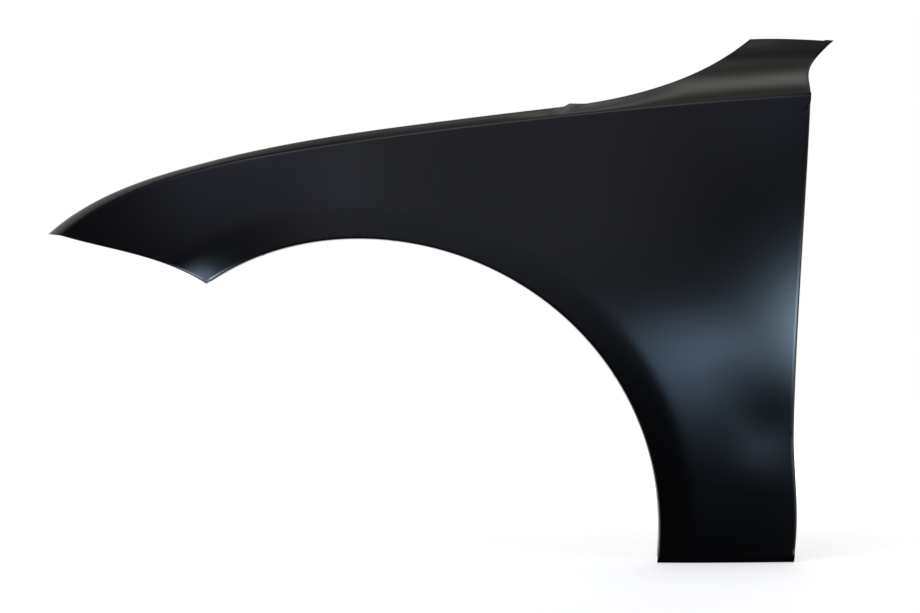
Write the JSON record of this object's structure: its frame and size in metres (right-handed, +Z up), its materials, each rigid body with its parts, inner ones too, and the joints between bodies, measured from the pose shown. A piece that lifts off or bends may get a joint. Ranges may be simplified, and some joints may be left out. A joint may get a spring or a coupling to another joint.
{
  "type": "car fender",
  "caption": "Left front fender of a car: one pressed steel skin with a shoulder crease, a dished band around the wheel arch, a pillar lobe and folded fixing flanges.",
  "frame": {"origin": "on the underside of the middle hood pad, the face that the upper rail of the body carries, beside its bolt slot", "axes": "+X towards the door, +Y inboard, +Z up; the outer skin faces -Y. The wheel centre is at x -0.018, z -0.484 m."},
  "size_m": [1.0079, 0.1982, 0.6583],
  "materials": {
    "black_primer": "satin black electro-coat primer"
  },
  "bodies": {
    "root": {"fender_panel": "black_primer"}
  },
  "joints": []
}
